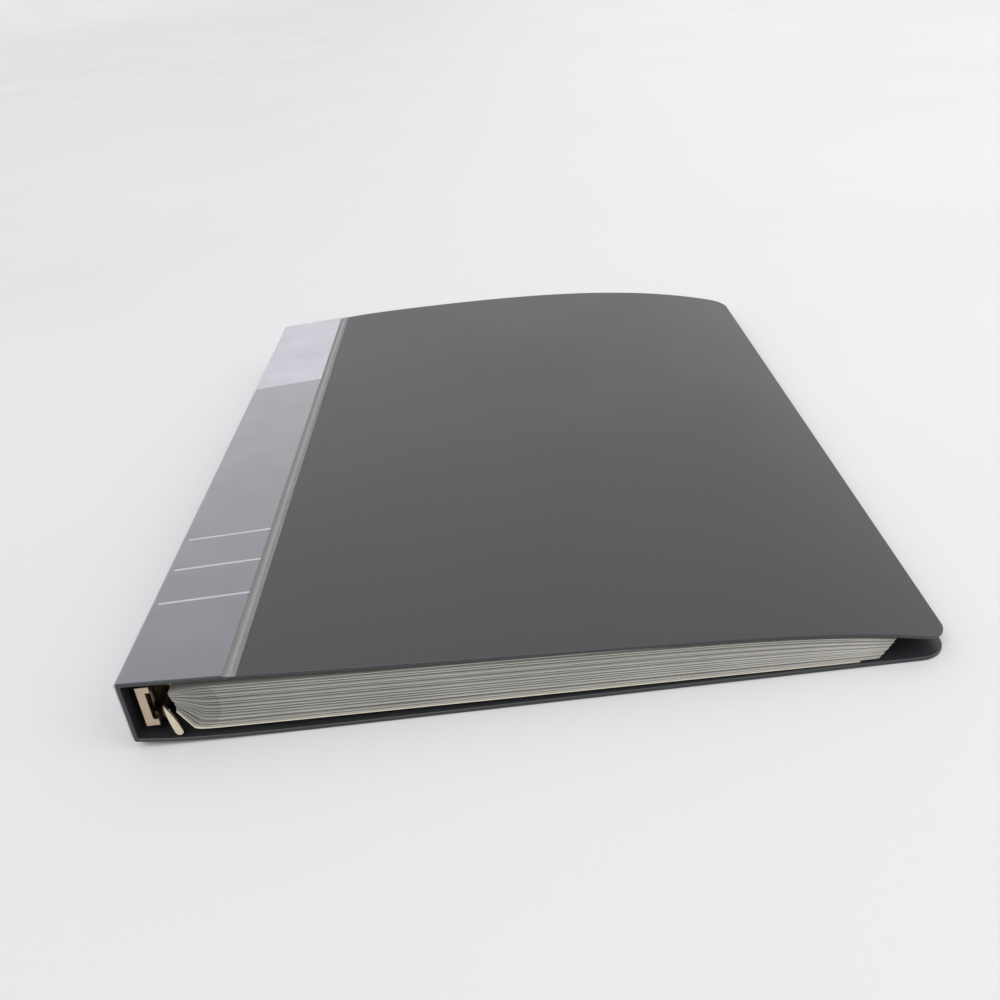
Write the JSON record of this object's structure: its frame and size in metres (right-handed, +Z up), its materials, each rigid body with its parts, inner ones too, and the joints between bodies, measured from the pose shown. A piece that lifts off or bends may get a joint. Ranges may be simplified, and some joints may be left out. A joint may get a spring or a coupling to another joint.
{
  "type": "business card binder",
  "caption": "Ring binder for business cards: creased plastic covers with a label strip along the spine, a ring mechanism with a release lever, and punched card leaves.",
  "frame": {"origin": "on the table below the middle of the closed binder", "axes": "+X from the spine to the fore-edge, +Y along the spine from the near end, +Z up through the closed binder"},
  "size_m": [0.2354, 0.31, 0.0254],
  "materials": {
    "cover_sheet": "satin grained polypropylene sheet",
    "label_card": "printed grey card",
    "clear_film": "clear welded film",
    "plated_steel": "nickel plated steel",
    "leaf_film": "translucent polypropylene pocket film",
    "index_paper": "uncoated index paper"
  },
  "bodies": {
    "back_cover": {"back_cover": "cover_sheet"},
    "spine": {"spine_panel": "cover_sheet", "label_card_spine": "label_card", "label_sleeve_spine": "clear_film", "ring_channel": "plated_steel", "spine_rivets": "plated_steel", "rivet_spacers": "plated_steel", "lever_pin": "plated_steel"},
    "front_cover": {"front_cover": "cover_sheet", "label_card_front": "label_card", "label_sleeve_front": "clear_film"},
    "upper_ring_set": {"upper_blade": "plated_steel", "upper_rings": "plated_steel"},
    "lower_ring_set": {"lower_blade": "plated_steel", "lower_rings": "plated_steel"},
    "release_lever": {"release_lever": "plated_steel"},
    "index_sheet": {"index_sheet": "index_paper"},
    "leaf_01": {"leaf_01": "leaf_film"},
    "leaf_02": {"leaf_02": "leaf_film"},
    "leaf_03": {"leaf_03": "leaf_film"},
    "leaf_04": {"leaf_04": "leaf_film"},
    "leaf_05": {"leaf_05": "leaf_film"},
    "leaf_06": {"leaf_06": "leaf_film"},
    "leaf_07": {"leaf_07": "leaf_film"},
    "leaf_08": {"leaf_08": "leaf_film"},
    "leaf_09": {"leaf_09": "leaf_film"},
    "leaf_10": {"leaf_10": "leaf_film"},
    "leaf_11": {"leaf_11": "leaf_film"},
    "leaf_12": {"leaf_12": "leaf_film"},
    "leaf_13": {"leaf_13": "leaf_film"},
    "leaf_14": {"leaf_14": "leaf_film"},
    "leaf_15": {"leaf_15": "leaf_film"}
  },
  "joints": [
    {"name": "back_fold", "type": "hinge", "parent": "back_cover", "child": "spine", "pos_m": [-0.11665, 0, 0.0032], "axis": [0, -1, 0], "range_deg": [0, 90]},
    {"name": "front_fold", "type": "hinge", "parent": "spine", "child": "front_cover", "pos_m": [-0.11665, 0, 0.0229], "axis": [0, -1, 0], "range_deg": [0, 90]},
    {"name": "ring_open", "type": "hinge", "parent": "spine", "child": "upper_ring_set", "pos_m": [-0.11106, 0, 0.0184], "axis": [0, -1, 0], "range_deg": [0, 9]},
    {"name": "lower_ring_open", "type": "hinge", "parent": "spine", "child": "lower_ring_set", "pos_m": [-0.11106, 0, 0.0078], "axis": [0, 1, 0], "range_deg": [0, 9]},
    {"name": "lever_press", "type": "hinge", "parent": "spine", "child": "release_lever", "pos_m": [-0.11106, -0.1485, 0.0131], "axis": [0, 0, -1], "range_deg": [0, 16.2]},
    {"name": "index_sheet_turn", "type": "hinge", "parent": "spine", "child": "index_sheet", "pos_m": [-0.10376, 0, 0.0131], "axis": [0, -1, 0], "range_deg": [0, 1.8]},
    {"name": "leaf_01_turn", "type": "hinge", "parent": "spine", "child": "leaf_01", "pos_m": [-0.10376, 0, 0.0131], "axis": [0, -1, 0], "range_deg": [0, 6.12]},
    {"name": "leaf_02_turn", "type": "hinge", "parent": "spine", "child": "leaf_02", "pos_m": [-0.10376, 0, 0.0131], "axis": [0, -1, 0], "range_deg": [0, 10.44]},
    {"name": "leaf_03_turn", "type": "hinge", "parent": "spine", "child": "leaf_03", "pos_m": [-0.10376, 0, 0.0131], "axis": [0, -1, 0], "range_deg": [0, 14.76]},
    {"name": "leaf_04_turn", "type": "hinge", "parent": "spine", "child": "leaf_04", "pos_m": [-0.10376, 0, 0.0131], "axis": [0, -1, 0], "range_deg": [0, 19.08]},
    {"name": "leaf_05_turn", "type": "hinge", "parent": "spine", "child": "leaf_05", "pos_m": [-0.10376, 0, 0.0131], "axis": [0, -1, 0], "range_deg": [0, 23.4]},
    {"name": "leaf_06_turn", "type": "hinge", "parent": "spine", "child": "leaf_06", "pos_m": [-0.10376, 0, 0.0131], "axis": [0, -1, 0], "range_deg": [0, 27.72]},
    {"name": "leaf_07_turn", "type": "hinge", "parent": "spine", "child": "leaf_07", "pos_m": [-0.10376, 0, 0.0131], "axis": [0, -1, 0], "range_deg": [0, 32.04]},
    {"name": "leaf_08_turn", "type": "hinge", "parent": "spine", "child": "leaf_08", "pos_m": [-0.10376, 0, 0.0131], "axis": [0, -1, 0], "range_deg": [0, 36.36]},
    {"name": "leaf_09_turn", "type": "hinge", "parent": "spine", "child": "leaf_09", "pos_m": [-0.10376, 0, 0.0131], "axis": [0, -1, 0], "range_deg": [0, 40.68]},
    {"name": "leaf_10_turn", "type": "hinge", "parent": "spine", "child": "leaf_10", "pos_m": [-0.10376, 0, 0.0131], "axis": [0, -1, 0], "range_deg": [0, 45]},
    {"name": "leaf_11_turn", "type": "hinge", "parent": "spine", "child": "leaf_11", "pos_m": [-0.10376, 0, 0.0131], "axis": [0, -1, 0], "range_deg": [0, 49.32]},
    {"name": "leaf_12_turn", "type": "hinge", "parent": "spine", "child": "leaf_12", "pos_m": [-0.10376, 0, 0.0131], "axis": [0, -1, 0], "range_deg": [0, 53.64]},
    {"name": "leaf_13_turn", "type": "hinge", "parent": "spine", "child": "leaf_13", "pos_m": [-0.10376, 0, 0.0131], "axis": [0, -1, 0], "range_deg": [0, 57.96]},
    {"name": "leaf_14_turn", "type": "hinge", "parent": "spine", "child": "leaf_14", "pos_m": [-0.10376, 0, 0.0131], "axis": [0, -1, 0], "range_deg": [0, 62.28]},
    {"name": "leaf_15_turn", "type": "hinge", "parent": "spine", "child": "leaf_15", "pos_m": [-0.10376, 0, 0.0131], "axis": [0, -1, 0], "range_deg": [0, 66.6]}
  ],
  "couplings": [
    {"joint": "lower_ring_open", "follows": "ring_open", "ratio": 1},
    {"joint": "lever_press", "follows": "ring_open", "ratio": 1.8},
    {"joint": "index_sheet_turn", "follows": "front_fold", "ratio": 0.02},
    {"joint": "leaf_01_turn", "follows": "front_fold", "ratio": 0.068},
    {"joint": "leaf_02_turn", "follows": "front_fold", "ratio": 0.116},
    {"joint": "leaf_03_turn", "follows": "front_fold", "ratio": 0.164},
    {"joint": "leaf_04_turn", "follows": "front_fold", "ratio": 0.212},
    {"joint": "leaf_05_turn", "follows": "front_fold", "ratio": 0.26},
    {"joint": "leaf_06_turn", "follows": "front_fold", "ratio": 0.308},
    {"joint": "leaf_07_turn", "follows": "front_fold", "ratio": 0.356},
    {"joint": "leaf_08_turn", "follows": "front_fold", "ratio": 0.404},
    {"joint": "leaf_09_turn", "follows": "front_fold", "ratio": 0.452},
    {"joint": "leaf_10_turn", "follows": "front_fold", "ratio": 0.5},
    {"joint": "leaf_11_turn", "follows": "front_fold", "ratio": 0.548},
    {"joint": "leaf_12_turn", "follows": "front_fold", "ratio": 0.596},
    {"joint": "leaf_13_turn", "follows": "front_fold", "ratio": 0.644},
    {"joint": "leaf_14_turn", "follows": "front_fold", "ratio": 0.692},
    {"joint": "leaf_15_turn", "follows": "front_fold", "ratio": 0.74}
  ]
}
